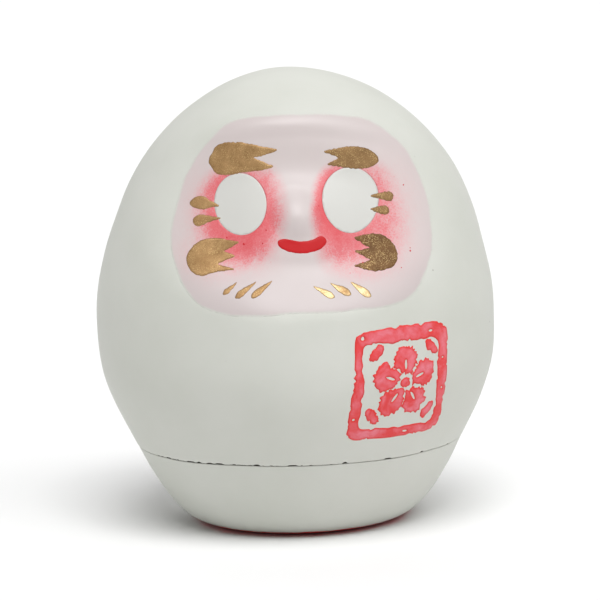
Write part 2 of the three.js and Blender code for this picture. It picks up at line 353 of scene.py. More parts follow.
def make_shell(materials):
    angle = ring_angles()
    broken = chipping(angle)
    rings = []
    slots = []
    inside, inside_normal = egg_outline(INNER_DOME_RINGS, INNER_BELLY_RINGS)
    for place, normal in zip(inside[1:], inside_normal[1:]):
        rings.append(skin(angle, place[0], place[1], normal, WALL))
        slots.append(RAW)
    wall_normal = np.array([slope_up, -slope_across])
    wall_up = np.array([slope_across, slope_up])
    for i in range(EDGE_STEPS + 1):
        turn = math.pi / 2 * i / EDGE_STEPS
        inset = EDGE_ROUNDING * (1 - math.sin(turn))
        rise = EDGE_ROUNDING * (1 - math.cos(turn))
        radius = SEAM_RADIUS + wall_up[0] * (rise + broken)
        height = SEAM_Z + wall_up[1] * (rise + broken)
        rings.append(skin(angle, radius, height, wall_normal, inset))
        slots.append(RAW if i < 1 else PAINTED)
    outside, outside_normal = egg_outline(DOME_RINGS, BELLY_RINGS)
    for place, normal in zip(outside[::-1][1:-1], outside_normal[::-1][1:-1]):
        above = (place[1] - SEAM_Z) / slope_up
        lift = EDGE_ROUNDING * max(0.0, 1 - above / CHIP_REACH)
        lift = lift + broken * max(0.0, 1 - above / CHIP_REACH)
        rings.append(skin(angle, place[0] + wall_up[0] * lift, place[1] + wall_up[1] * lift))
        slots.append(PAINTED)
    first = skin(0.0, 0.0, inside[0][1] - WALL)
    last = skin(0.0, 0.0, HEIGHT)
    return revolve("shell", first, rings, last, materials, slots)


FLOOR_THICKNESS = 2.5
COLLAR_WALL = 1.8
COLLAR_CLEARANCE = 0.3
BOWL_RINGS = 48
FOOT_RINGS = 10
BOWL_INSET = 0.12


def make_bowl(materials):
    angle = ring_angles()
    rim_z = SEAM_Z - SEAM_WIDTH
    curve, curve_normal = bezier(bowl_curve(rim_z), BOWL_RINGS)
    wall_normal = np.array([slope_up, -slope_across])
    rings = []
    slots = []
    for i in range(1, FOOT_RINGS):
        rings.append(skin(angle, FOOT_RADIUS * i / FOOT_RINGS, 0.0))
        slots.append(PAINTED)
    for place, normal in zip(curve[::-1][:-1], curve_normal[::-1][:-1]):
        near_rim = smooth((place[1] - rim_z + 6) / 6)
        rings.append(skin(angle, place[0], place[1], normal, BOWL_INSET * near_rim))
        slots.append(PAINTED)
    for i in range(EDGE_STEPS + 1):
        turn = math.pi / 2 * i / EDGE_STEPS
        inset = EDGE_ROUNDING * (1 - math.cos(turn)) + BOWL_INSET
        drop = EDGE_ROUNDING * (1 - math.sin(turn))
        rings.append(skin(angle, SEAM_RADIUS - slope_across * drop, rim_z - slope_up * drop,
                          wall_normal, inset))
        slots.append(PAINTED if i < EDGE_STEPS else RAW)
    collar = SEAM_RADIUS - WALL / slope_up - COLLAR_CLEARANCE
    for radius, height in [(collar, rim_z), (collar, COLLAR_TOP - 0.4), (collar - 0.4, COLLAR_TOP),
                           (collar - COLLAR_WALL + 0.4, COLLAR_TOP),
                           (collar - COLLAR_WALL, COLLAR_TOP - 0.4)]:
        rings.append(skin(angle, radius, height))
        slots.append(RAW)
    for place, normal in zip(curve[::2], curve_normal[::2]):
        if place[0] - normal[0] * FLOOR_THICKNESS < collar - COLLAR_WALL:
            rings.append(skin(angle, place[0], place[1], normal, FLOOR_THICKNESS))
            slots.append(RAW)
    first = skin(0.0, 0.0, 0.0)
    last = skin(0.0, 0.0, FLOOR_THICKNESS)
    return revolve("bowl", first, rings, last, materials, slots)


# ---- Paint films ----

FILM_BACK = 0.03  # how far a film's back sinks into the skin
BLOCK = 64  # edge points measured at a time, to save memory


def crosses(points, loop):
    """Whether each point lies inside a closed loop."""
    inside = np.zeros(len(points), bool)
    x, y = points[:, 0], points[:, 1]
    for (ax, ay), (bx, by) in zip(loop, np.roll(loop, -1, axis=0)):
        spans = (ay > y) != (by > y)
        if spans.any():
            meets = ax + (y - ay) * (bx - ax) / (by - ay if by != ay else 1e-9)
            inside ^= spans & (x < meets)
    return inside


def inside_all(points, loops):
    inside = np.zeros(len(points), bool)
    for loop in loops:
        inside ^= crosses(points, loop)
    return inside


def nearest_edge(points, loops):
    edge = np.vstack(loops)
    nearest = np.full(len(points), 1e9)
    for start in range(0, len(edge), BLOCK):
        block = edge[start:start + BLOCK]
        apart = np.hypot(points[:, None, 0] - block[None, :, 0], points[:, None, 1] - block[None, :, 1])
        nearest = np.minimum(nearest, apart.min(axis=1))
    return nearest


def film(name, loops, thickness, spacing, material, heading=0.0, shoulder=0.3, rim=0.25):
    """A thin closed layer of paint on the skin, inside the first loop and outside the others' holes.

    It thins out to the share rim of its thickness over the shoulder. A rim below zero sinks the
    first loop's edge into the skin instead, and leaves the holes' edges at full thickness.
    """
    corners = np.vstack(loops)
    low = corners.min(axis=0) + spacing / 2
    high = corners.max(axis=0)
    columns = np.arange(low[0], high[0], spacing)
    rows = np.arange(low[1], high[1], spacing)
    grid = np.stack(np.meshgrid(columns, rows), 2).reshape(-1, 2)
    grid = grid[inside_all(grid, loops)]
    grid = grid[nearest_edge(grid, loops) > spacing * 0.45]
    points = [Vector(point) for point in np.vstack([corners, grid])]
    edges = []
    start = 0
    for loop in loops:
        edges += [(start + i, start + (i + 1) % len(loop)) for i in range(len(loop))]
        start += len(loop)
    cut = delaunay_2d_cdt(points, edges, [], 0, 1e-5)
    flat = np.array([tuple(point) for point in cut[0]])
    triangles = np.array(cut[2])
    kept = triangles[inside_all(flat[triangles].mean(axis=1), loops)]
    away = nearest_edge(flat, loops)
    away[away < 1e-4] = 0
    inward = away if rim >= 0 else nearest_edge(flat, loops[:1])
    lift = thickness * (rim + (1 - rim) * smooth(inward / shoulder))
    base = plane_skin(flat[:, 0], flat[:, 1], heading)
    normals = plane_normals(flat[:, 0], flat[:, 1], heading)
    top = base + normals * lift[:, None]
    under = base - normals * FILM_BACK
    count = len(flat)
    faces = [tuple(int(i) for i in face) for face in kept]
    sides = {}
    for a, b, c in faces:
        for edge in ((a, b), (b, c), (c, a)):
            sides[edge] = True
    walls = [(b, a, a + count, b + count) for a, b in sides if (b, a) not in sides]
    bottoms = [(a + count, c + count, b + count) for a, b, c in faces]
    piece = new_object(name, np.vstack([top, under]), faces + walls + bottoms, [material])
    rounded = [True] * len(faces) + [False] * (len(walls) + len(bottoms))
    piece.data.polygons.foreach_set("use_smooth", rounded)
    add_value(piece, "edge", np.tile(away, 2))
    return piece, flat


def waver(loop, amount, length, seed, roughness=0.6):
    """Moves a loop's points in and out a little, as a brush or a stamp leaves its edge."""
    draw = np.random.default_rng(seed)
    steps = np.roll(loop, -1, axis=0) - loop
    lengths = np.hypot(steps[:, 0], steps[:, 1])
    distance = np.concatenate([[0], np.cumsum(lengths)[:-1]])
    total = lengths.sum()
    along = np.roll(loop, -1, axis=0) - np.roll(loop, 1, axis=0)
    along /= np.hypot(along[:, 0], along[:, 1])[:, None] + 1e-9
    counts = np.arange(2, max(4, int(total / length)) + 1)
    sizes = draw.normal(size=len(counts)) / counts ** roughness
    sizes *= amount / math.sqrt((sizes ** 2).sum() / 2)
    shift = np.zeros(len(loop))
    for count, size in zip(counts, sizes):
        shift += size * np.sin(2 * math.pi * count * distance / total + draw.uniform(0, 6.3))
    return loop + np.stack([along[:, 1], -along[:, 0]], 1) * shift[:, None]


def spline(points, step, closed):
    """A smooth line through a few points."""
    points = [np.array(point[:2], float) for point in points]
    count = len(points)
    line = []
    for i in range(count if closed else count - 1):
        if closed:
            a, b, c, d = [points[(i + k) % count] for k in (-1, 0, 1, 2)]
        else:
            a, b, c, d = [points[min(max(i + k, 0), count - 1)] for k in (-1, 0, 1, 2)]
        parts = max(2, int(np.linalg.norm(c - b) / step))
        for t in np.arange(parts) / parts:
            line.append(0.5 * (2 * b + (c - a) * t + (2 * a - 5 * b + 4 * c - d) * t ** 2
                               + (3 * b - a - 3 * c + d) * t ** 3))
    if not closed:
        line.append(points[-1])
    return np.array(line)


def outline(points, step=0.2):
    """A closed line through a few points, with a corner at each point that has a third entry."""
    corners = [i for i, point in enumerate(points) if len(point) > 2]
    if not corners:
        return spline(points, step, True)
    parts = []
    for first, second in zip(corners, corners[1:] + [corners[0] + len(points)]):
        run = [points[i % len(points)] for i in range(first, second + 1)]
        parts.append(spline(run, step, False)[:-1])
    return np.vstack(parts)


def oval(centre, half_width, half_height, narrowing, step=0.25):
    """An egg-like oval, narrower at its foot by the share narrowing."""
    count = int(2 * math.pi * half_height / step)
    turn = np.arange(count) * 2 * math.pi / count
    width = half_width * (1 + narrowing * np.sin(turn))
    return np.stack([centre[0] + width * np.cos(turn), centre[1] + half_height * np.sin(turn)], 1)


def leaf(root, tip, width, step=0.15):
    """One short stroke: round at its root, full in its middle and pointed at its tip."""
    root, tip = np.array(root, float), np.array(tip, float)
    along = tip - root
    side = np.array([-along[1], along[0]]) / np.linalg.norm(along) * width / 2
    shape = [(*tip, 1), tuple(root + along * 0.55 + side * 0.75), tuple(root + along * 0.2 + side),
             tuple(root), tuple(root + along * 0.2 - side), tuple(root + along * 0.55 - side * 0.75)]
    return outline(shape, step)


PANEL = [(6, 118.3), (-7, 118.5), (-16.5, 117), (-21.5, 113.6), (-26.5, 107.3), (-30.4, 100.6),
         (-33.3, 92), (-34.3, 84.5), (-33.2, 77.7), (-30.3, 71.9), (-25.8, 67.7), (-18.6, 65.9),
         (-4, 65.7), (11, 66), (24.3, 66.8), (30.8, 68.8), (34.9, 73.3), (37.3, 80.5),
         (37.3, 89.5), (35.2, 98.2), (31.9, 106), (26.6, 112.2), (20.3, 116.2), (14, 117.6)]

GOLD_OUTLINES = {
    "brow_left": [(-23, 106.3), (-21.1, 109.9), (-17.9, 111), (-13.7, 110.9), (-9.6, 110.1),
                  (-3.2, 108.6, 1), (-7, 107.5), (-10.5, 106.7, 1), (-7.4, 105.4), (-5.2, 104.2, 1),
                  (-7.7, 103.4), (-13, 102.9), (-18.2, 102.2), (-21.4, 102.9), (-22.6, 104.7)],
    "brow_right": [(7.9, 107.9, 1), (12.9, 108.8), (17.8, 108.9), (21.5, 107.6), (23.3, 105.4),
                   (22.6, 103.9), (19.6, 102.8), (14.9, 103.2), (8.8, 104.3, 1), (12.1, 106, 1)],
    "temple_stroke_left_upper": [(-28.6, 95.1), (-26.8, 96.7), (-24.2, 96.5), (-22, 95), (-19.3, 94.2, 1),
                                 (-22.8, 93.6), (-25.9, 93.1), (-28.1, 94)],
    "temple_stroke_left_lower": [(-28, 90), (-27, 91.5), (-24.4, 91.9), (-20.1, 90.9, 1), (-23.8, 89.6),
                                 (-26.6, 88.7)],
    "temple_stroke_right_upper": [(20, 95.6, 1), (23.1, 96.2), (25.7, 96.5), (27.1, 95.1), (26.1, 93.8),
                                  (23.5, 94.4)],
    "temple_stroke_right_lower": [(20.1, 92, 1), (22.3, 92.6), (24.5, 92.9), (25.7, 91.7), (25.1, 90.3),
                                  (23, 90.7)],
    "cheek_tuft_left": [(-30, 79.7), (-29.4, 82.1), (-26.7, 84.8), (-22.5, 85.8), (-18.9, 85.5),
                        (-14.9, 84.8, 1), (-19.6, 82.3, 1), (-16.3, 81, 1), (-21.2, 79, 1),
                        (-16.2, 77.5, 1), (-21.8, 76.9), (-26, 75.9), (-28.8, 77.3)],
    "cheek_tuft_right": [(15.1, 85.1, 1), (20.2, 85.7), (24.3, 84.8), (27, 81.7), (27.4, 78.7),
                         (25.8, 76.7), (22.1, 75.8), (18.5, 76.4), (14.8, 77.6, 1), (19.8, 78.9, 1),
                         (14.9, 81.5, 1), (19.7, 82, 1)],
}

CHIN_STROKES = {
    "chin_stroke_left_1": ((-20.4, 71.3), (-16.1, 74.6), 1.4),
    "chin_stroke_left_2": ((-17.2, 70.4), (-10.8, 74.7), 1.7),
    "chin_stroke_left_3": ((-12.8, 70.4), (-6.5, 74.9), 1.8),
    "chin_stroke_right_1": ((9.6, 69.9), (3.4, 73.1), 1.8),
    "chin_stroke_right_2": ((14.1, 70.3), (8.0, 73.8), 2.0),
    "chin_stroke_right_3": ((19.4, 69.6), (13.7, 73.9), 2.1),
}

MOUTH = [(-5.1, 83.9), (-4.9, 84.9), (-3.6, 85.3), (-1.6, 85.1), (1.6, 84.6), (4.2, 84.9), (6.4, 85.7),
         (7.8, 85.3), (8.2, 84.2), (7.4, 83), (4.8, 81.7), (0.7, 81.3), (-2.4, 81.9), (-4.4, 82.9)]

EYES = {
    "eye_left": oval((-14.8, 94.6), 7.1, 8.15, 0.02),
    "eye_right": oval((15.2, 94.8), 7.75, 8.65, 0.04),
}

# Drops of paint that fell on the face: across, height and radius.
SPECKS = [(-18.8, 85.8, 0.3), (-14.3, 84.1, 0.38), (-9.2, 84.2, 0.28), (-8.1, 87.7, 0.3),
          (29.7, 97.8, 0.26), (31, 80.5, 0.34), (31, 81.3, 0.2), (6.4, 93.7, 0.2), (17.8, 78.2, 0.35),
          (28.3, 76.4, 0.2)]

FACE_NUDGE = np.array([-0.3, 0.35])  # the whole face is painted this much off centre and high


def face_film(name, loops, thickness, spacing, material, shoulder=0.3, rim=0.25):
    moved = [loop + FACE_NUDGE for loop in loops]
    return film(name, moved, thickness, spacing, material, 0.0, shoulder, rim)


# ---- The seal ----

SEAL_HEADING = math.radians(29.7)
SEAL_Z = 45.8
SEAL_HALF = 15.5
FRAME_HALF = 12.0  # of the frame's opening
FRAME_SHIFT = (-0.5, -0.6)  # of the opening, so the frame's top and right are bolder
SEAL_LEAN = -0.012  # how far the seal's sides move sideways for each millimetre up


def square(half, roundness, centre=(0.0, 0.0), step=0.2, lean=0.0):
    """A square with rounded corners, leaning sideways by the share lean."""
    count = int(8 * half / step)
    turn = np.arange(count) * 2 * math.pi / count
    across = np.abs(np.cos(turn))
    up = np.abs(np.sin(turn))
    reach = half / (across ** roundness + up ** roundness) ** (1 / roundness)
    x = centre[0] + reach * np.cos(turn)
    y = centre[1] + reach * np.sin(turn)
    return np.stack([x + lean * y, SEAL_Z + y], 1)


def nicked(loop, count, depth, seed):
    """Chips a stamp's edge inwards at random places. A negative depth chips a hole's edge instead."""
    draw = np.random.default_rng(seed)
    middle = loop.mean(axis=0)
    steps = np.roll(loop, -1, axis=0) - loop
    distance = np.cumsum(np.hypot(steps[:, 0], steps[:, 1]))
    shift = np.zeros(len(loop))
    for place in draw.uniform(0, distance[-1], count):
        width = draw.uniform(0.4, 1.5)
        size = depth * draw.uniform(0.3, 1.0)
        dent = size * np.clip(1 - np.abs(distance - place) / width, 0, 1) ** 0.7
        shift = np.where(np.abs(dent) > np.abs(shift), dent, shift)
    inward = middle - loop
    inward /= np.hypot(inward[:, 0], inward[:, 1])[:, None]
    return loop + inward * shift[:, None]


def blob(centre, radius, seed, stretch=1.0, turn=0.0):
    angle = np.linspace(0, 2 * math.pi, max(8, int(radius * 26)), endpoint=False)
    x = radius * stretch * np.cos(angle)
    y = radius * np.sin(angle)
    places = np.stack([centre[0] + x * math.cos(turn) - y * math.sin(turn),
                       SEAL_Z + centre[1] + x * math.sin(turn) + y * math.cos(turn)], 1)
    return waver(places, radius * 0.08, 0.9, seed)


def seal_frame_loops():
    outer = waver(square(SEAL_HALF, 9, lean=SEAL_LEAN), 0.22, 2.5, 3, 0.9)
    inner = waver(square(FRAME_HALF, 12, FRAME_SHIFT, lean=SEAL_LEAN), 0.2, 2.5, 4, 0.9)
    holes = [blob((-12.9, 13.2), 0.5, 5), blob((8.6, 13.4), 0.32, 6, 2.2), blob((13.6, -3.2), 0.3, 7),
             blob((-14, -9.4), 0.35, 8), blob((2.4, -14.1), 0.3, 9, 2.6),
             blob((13.3, 5.4), 0.22, 10, 1.6)]
    return [nicked(outer, 34, 0.75, 11), nicked(inner, 26, -0.6, 12)] + holes


PETALS = 5
PETAL_CENTRE = 6.2
PETAL_RADIUS = 3.9
CORNER = 8.9  # how far the leaves lie from the seal's middle, across and up


def seal_blossom_loops():
    loops = []
    for i in range(PETALS):
        turn = math.pi / 2 + i * 2 * math.pi / PETALS
        away = np.array([math.cos(turn), math.sin(turn)])
        petal = blob(away * PETAL_CENTRE, PETAL_RADIUS, 20 + i, 1.05, turn)
        loops.append(nicked(petal, 4, 0.7, 60 + i))
        loops.append(blob(away * (PETAL_CENTRE - 1.2), 0.36, 30 + i, 4.0, turn))
    loops.append(blob((0, 0), 1.5, 40))
    return loops


def seal_leaf_loops():
    loops = []
    for i in range(4):
        turn = math.pi / 4 + i * math.pi / 2
        away = np.array([math.cos(turn), math.sin(turn)]) * math.sqrt(2) * CORNER
        loops.append(nicked(blob(away, 1.5, 50 + i, 1.9, turn + math.pi / 2), 3, 0.5, 70 + i))
    return loops


# ---- Materials ----

class Nodes:
    """A short way to write a material's node tree."""

    def __init__(self, name):
        self.material = bpy.data.materials.new(name)
        self.material.use_nodes = True
        self.tree = self.material.node_tree
        self.shader = self.tree.nodes["Principled BSDF"]
        self.place = self.add("ShaderNodeTexCoord").outputs["Object"]

    def add(self, kind, **settings):
        node = self.tree.nodes.new(kind)
        for name, value in settings.items():
            setattr(node, name, value)
        return node

    def link(self, source, target):
        self.tree.links.new(source, target)

    def noise(self, scale, detail=3.0, roughness=0.5, stretch=None, distortion=0.0):
        """Noise with about scale lumps to the metre."""
        node = self.add("ShaderNodeTexNoise")
        node.inputs["Scale"].default_value = scale
        node.inputs["Detail"].default_value = detail
        node.inputs["Roughness"].default_value = roughness
        node.inputs["Distortion"].default_value = distortion
        place = self.place
        if stretch is not None:
            mapping = self.add("ShaderNodeMapping")
            mapping.inputs["Scale"].default_value = stretch
            self.link(place, mapping.inputs["Vector"])
            place = mapping.outputs["Vector"]
        self.link(place, node.inputs["Vector"])
        return node.outputs["Fac"]

    def cells(self, scale, randomness=1.0):
        node = self.add("ShaderNodeTexVoronoi")
        node.inputs["Scale"].default_value = scale
        node.inputs["Randomness"].default_value = randomness
        self.link(self.place, node.inputs["Vector"])
        return node

    def spread(self, value, from_low, from_high, to_low=0.0, to_high=1.0, soft=False):
        node = self.add("ShaderNodeMapRange")
        node.interpolation_type = "SMOOTHSTEP" if soft else "LINEAR"
        for name, number in (("From Min", from_low), ("From Max", from_high), ("To Min", to_low),
                             ("To Max", to_high)):
            node.inputs[name].default_value = number
        self.link(value, node.inputs["Value"])
        return node.outputs["Result"]

    def maths(self, operation, first, second):
        node = self.add("ShaderNodeMath", operation=operation)
        for socket, value in zip(node.inputs, (first, second)):
            if isinstance(value, (int, float)):
                socket.default_value = value
            else:
                self.link(value, socket)
        return node.outputs["Value"]

    def mix(self, factor, first, second):
        node = self.add("ShaderNodeMix", data_type="RGBA")
        self.link(factor, node.inputs["Factor"])
        for socket, value in ((node.inputs["A"], first), (node.inputs["B"], second)):
            if isinstance(value, tuple):
                socket.default_value = (*value, 1)
            else:
                self.link(value, socket)
        return node.outputs["Result"]

    def attribute(self, name):
        return self.add("ShaderNodeAttribute", attribute_name=name).outputs["Fac"]

    def height(self):
        split = self.add("ShaderNodeSeparateXYZ")
        self.link(self.place, split.inputs["Vector"])
        return split.outputs

    def bump(self, value, distance, strength=1.0, under=None):
        node = self.add("ShaderNodeBump")
        node.inputs["Distance"].default_value = distance
        node.inputs["Strength"].default_value = strength
        self.link(value, node.inputs["Height"])
        if under is not None:
            self.link(under, node.inputs["Normal"])
        return node.outputs["Normal"]

    def finish(self, colour, roughness, normal, **fixed):
        self.link(colour, self.shader.inputs["Base Color"])
        if isinstance(roughness, float):
            self.shader.inputs["Roughness"].default_value = roughness
        else:
            self.link(roughness, self.shader.inputs["Roughness"])
        self.link(normal, self.shader.inputs["Normal"])
        for name, value in fixed.items():
            self.shader.inputs[name.replace("_", " ").title().replace("Ior", "IOR")].default_value = value
        return self.material


def srgb(red, green, blue):
    """A colour from its everyday 0 to 255 values."""
    def straight(value):
        value = value / 255
        return value / 12.92 if value <= 0.04045 else ((value + 0.055) / 1.055) ** 2.4
    return (straight(red), straight(green), straight(blue))


WHITE_LIGHT = srgb(212, 213, 206)
WHITE_DARK = srgb(204, 206, 197)


def white_colour(n):
    """Faint clouds, as a hand-rubbed coat has."""
    return n.mix(n.spread(n.noise(28, 4, 0.55), 0.3, 0.7), WHITE_DARK, WHITE_LIGHT)


def white_paint(name, red_foot):
    """Off-white paint over paper, with fine brush grain and a few dust specks."""
    n = Nodes(name)
    fine = n.noise(420, 2, 0.6)
    colour = white_colour(n)
    dust = n.cells(170)
    speck = n.spread(dust.outputs["Distance"], 0.035, 0.06, 1, 0)
    rare = n.spread(n.noise(60, 1), 0.62, 0.66)
    dusty = n.maths("MULTIPLY", n.maths("MULTIPLY", speck, rare), 0.45)
    colour = n.mix(dusty, colour, srgb(120, 116, 104))
    if red_foot:
        x, y, _ = n.height()
        reach = n.maths("SQRT", n.maths("ADD", n.maths("MULTIPLY", x, x), n.maths("MULTIPLY", y, y)), 0)
        ragged = n.maths("ADD", reach, n.spread(n.noise(160, 3), 0.3, 0.7, -0.0006, 0.0006))
        foot = n.spread(ragged, 0.0306, 0.031, 1, 0, soft=True)
        red = n.mix(n.noise(240, 3), srgb(214, 50, 48), srgb(228, 68, 60))
        colour = n.mix(foot, colour, red)
    brushed = n.bump(n.noise(95, 3, 0.55, stretch=(1, 1, 2.6)), 0.00018, 0.35)
    grained = n.bump(fine, 0.00005, 0.3, brushed)
    roughness = n.spread(n.noise(55, 3), 0.3, 0.7, 0.46, 0.56)
    return n.finish(colour, roughness, grained, specular_ior_level=0.35)


def raw_board():
    n = Nodes("raw_paper")
    colour = n.mix(n.noise(900, 4, 0.7), srgb(92, 84, 72), srgb(128, 118, 102))
    return n.finish(colour, 0.9, n.bump(n.noise(1400, 3, 0.7), 0.0001, 0.8))


PANEL_PINK = srgb(210, 200, 198)
PANEL_SHADE = srgb(204, 193, 192)
# Painted shade: a greyer pink for the face below the mouth, standing in for the shade on the chin.
CHIN_PAINTED_SHADE = srgb(188, 177, 177)
BLUSH_LIGHT = srgb(222, 148, 153)
BLUSH_DEEP = srgb(217, 86, 92)
PANEL_FADE = 0.9  # millimetres over which the panel thins out into the white


def face_paint():
    """Pale pink that thins out at its edge, painted shade below the mouth, airbrushed red around the
    eyes, and fine red drops.
    """
    n = Nodes("face_paint")
    pink = n.mix(n.noise(40, 4, 0.55), PANEL_SHADE, PANEL_PINK)
    _, _, z = n.height()
    # Painted shade: the pink turns greyer below about 82 mm up and is fullest below 74 mm, for the shade
    # under the mouth.
    pink = n.mix(n.spread(z, 0.074, 0.082, 0.32, 0.0, soft=True), pink, CHIN_PAINTED_SHADE)
    blush = n.attribute("blush")
    streak = n.noise(420, 4, 0.7, stretch=(1.0, 1.0, 0.5))
    grain = n.noise(2400, 2, 0.7)
    broken = n.maths("ADD", n.spread(streak, 0.3, 0.7, -0.11, 0.11),
                     n.spread(grain, 0.3, 0.7, -0.13, 0.13))
    uneven = n.maths("MULTIPLY", broken, n.spread(blush, 0, 0.3))
    strength = n.maths("ADD", blush, uneven)
    red = n.mix(n.spread(strength, 0.25, 0.95), BLUSH_LIGHT, BLUSH_DEEP)
    colour = n.mix(n.spread(strength, 0.0, 0.62), pink, red)
    drops = n.cells(900)
    dot = n.spread(drops.outputs["Distance"], 0.1, 0.18, 1, 0)
    chosen = n.maths("MULTIPLY", n.spread(n.noise(1500, 0), 0.66, 0.69), n.spread(blush, 0.02, 0.2))
    colour = n.mix(n.maths("MULTIPLY", n.maths("MULTIPLY", dot, chosen), 0.6), colour, srgb(214, 60, 66))
    wander = n.spread(n.noise(160, 4, 0.6), 0.3, 0.7, -0.3, 0.1)
    rim = n.spread(n.maths("ADD", n.attribute("border"), wander), 0.0, PANEL_FADE, 1.0, 0.0, soft=True)
    colour = n.mix(rim, colour, white_colour(n))
    normal = n.bump(n.noise(120, 3), 0.00012, 0.25)
    roughness = n.spread(n.noise(80, 3), 0.3, 0.7, 0.34, 0.44)
    return n.finish(colour, roughness, normal, specular_ior_level=0.4)


def eye_paint():
    n = Nodes("eye_paint")
    colour = n.mix(n.noise(60, 4), srgb(203, 203, 198), srgb(207, 206, 201))
    rim = n.spread(n.attribute("edge"), 0.0, 0.35, 0.45, 0.0, soft=True)
    colour = n.mix(rim, colour, srgb(212, 200, 197))
    return n.finish(colour, 0.42, n.bump(n.noise(300, 3), 0.00006, 0.3))


def gold_paint(name, dark, light, glints, roughness, metallic):
    """Powdered-metal paint: a satin gold film full of tiny flakes, with painted glints where flakes would
    catch the light, thinner and duller at its edges.
    """
    n = Nodes(name)
    flakes = n.cells(6800)
    tone = n.mix(n.spread(n.noise(240, 4, 0.6), 0.3, 0.7), dark, light)
    pick = n.add("ShaderNodeSeparateColor")
    n.link(flakes.outputs["Color"], pick.inputs["Color"])
    # Painted glints: bright flecks mixed into the colour where flakes would catch the light; glints sets
    # how strong they are.
    bright = n.spread(pick.outputs["Red"], 0.78, 0.95)
    glint = n.maths("MULTIPLY", bright, n.spread(n.noise(330, 2), 0.32, 0.6))
    colour = n.mix(n.maths("MULTIPLY", glint, glints), tone, srgb(244, 214, 150))
    low = n.spread(pick.outputs["Green"], 0.8, 0.9)
    colour = n.mix(n.maths("MULTIPLY", low, 0.3), colour, srgb(96, 70, 40))
    rim = n.spread(n.attribute("edge"), 0.0, 0.3, 0.5, 0.0, soft=True)
    colour = n.mix(rim, colour, srgb(128, 100, 78))
    facets = n.bump(pick.outputs["Blue"], 0.00004, 0.35)
    normal = n.bump(n.noise(500, 3), 0.00006, 0.4, facets)
    spread = n.spread(pick.outputs["Green"], 0, 1, roughness - 0.08, roughness + 0.1)
    return n.finish(colour, spread, normal, metallic=metallic)


def mouth_paint():
    n = Nodes("mouth_paint")
    colour = n.mix(n.noise(300, 3), srgb(190, 24, 30), srgb(198, 34, 38))
    rim = n.spread(n.attribute("edge"), 0.0, 0.25, 0.4, 0.0, soft=True)
    colour = n.mix(rim, colour, srgb(176, 22, 30))
    return n.finish(colour, 0.5, n.bump(n.noise(260, 3), 0.00008, 0.3), specular_ior_level=0.25)


def seal_ink():
    """Stamp ink that dried in pools: pinker and thinner inside, redder along every edge."""
    n = Nodes("seal_ink")
    pools = n.noise(150, 4, 0.6, distortion=0.6)
    colour = n.mix(n.spread(pools, 0.4, 0.64), srgb(228, 70, 74), srgb(232, 128, 142))
    wash = n.noise(520, 4, 0.7)
    colour = n.mix(n.spread(wash, 0.42, 0.75, 0.0, 0.55), colour, srgb(222, 58, 50))
    rim = n.spread(n.attribute("edge"), 0.0, 0.75, 0.9, 0.0, soft=True)
    colour = n.mix(rim, colour, srgb(222, 46, 38))
    return n.finish(colour, 0.5, n.bump(wash, 0.00008, 0.4), specular_ior_level=0.3)


def clay():
    n = Nodes("clay")
    colour = n.mix(n.noise(220, 5, 0.65), srgb(128, 96, 66), srgb(168, 134, 98))
    return n.finish(colour, 0.92, n.bump(n.noise(500, 5, 0.7), 0.0004, 0.8))


def glue():
    n = Nodes("glue")
    colour = n.mix(n.noise(150, 4), srgb(196, 166, 98), srgb(222, 198, 136))
    roughness = n.spread(n.noise(90), 0.3, 0.7, 0.25, 0.5)
    return n.finish(colour, roughness, n.bump(n.noise(260, 3), 0.0003, 0.6), subsurface_weight=0.2)


# ---- Blush ----

# Airbrushed red around each eye: direction from the eye's middle in degrees, reach and strength.
LEFT_BLUSH = [(0, 6.8, 0.66), (45, 7.2, 0.66), (90, 3, 0.4), (135, 5.4, 0.7), (180, 6.6, 0.6),
              (225, 9.5, 0.72), (255, 11.5, 0.78), (290, 9.4, 0.8), (320, 8.2, 0.84)]
RIGHT_BLUSH = [(0, 7, 0.5), (45, 6, 0.55), (90, 3, 0.4), (130, 3.8, 0.8), (180, 3.8, 1.0),
               (215, 6.4, 1.0), (245, 12.8, 0.84), (280, 14.5, 0.68), (310, 14.5, 0.6), (335, 12, 0.5)]
# Fainter red out by the temples and cheeks: centre, half width, half height and strength.
BLUSH_HAZE = [((-25, 92), 5, 9, 0.2), ((-22, 81), 8, 5, 0.3), ((26, 92), 6, 10, 0.2),
              ((21, 80), 9, 6, 0.2), ((-12, 82), 6, 4.5, 0.3)]


def around_eye(points, eye, rows):
    middle = (eye.max(axis=0) + eye.min(axis=0)) / 2
    half = (eye.max(axis=0) - eye.min(axis=0)) / 2
    away = points - middle
    length = np.hypot(away[:, 0], away[:, 1])
    inside = length / (np.hypot(away[:, 0] / half[0], away[:, 1] / half[1]) + 1e-9)
    turn = np.degrees(np.arctan2(away[:, 1], away[:, 0]))
    angles, reaches, strengths = np.array(rows).T
    reach = np.interp(turn, angles, reaches, period=360)
    strength = np.interp(turn, angles, strengths, period=360)
    share = np.clip(1 - (length - inside) / reach, 0, 1)
    return strength * smooth(share) ** 0.75


def blush_at(points):
    left, right = EYES.values()
    total = 1 - (1 - around_eye(points, left, LEFT_BLUSH)) * (1 - around_eye(points, right, RIGHT_BLUSH))
    for centre, half_width, half_height, strength in BLUSH_HAZE:
        spot = np.hypot((points[:, 0] - centre[0]) / half_width, (points[:, 1] - centre[1]) / half_height)
        total = 1 - (1 - total) * (1 - strength * np.exp(-spot ** 2))
    return total


# ---- Assembly ----

def dress(piece, slot, *nodes):
    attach(piece, "root")
    if nodes:
        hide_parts(*nodes)


# Each paint's thickness in millimetres.
PANEL_THICKNESS = 0.06
EYE_THICKNESS = 0.055
GOLD_THICKNESS = 0.16
MOUTH_THICKNESS = 0.18
DROP_THICKNESS = 0.14
INK_THICKNESS = 0.08
INK_SPACING = 0.5


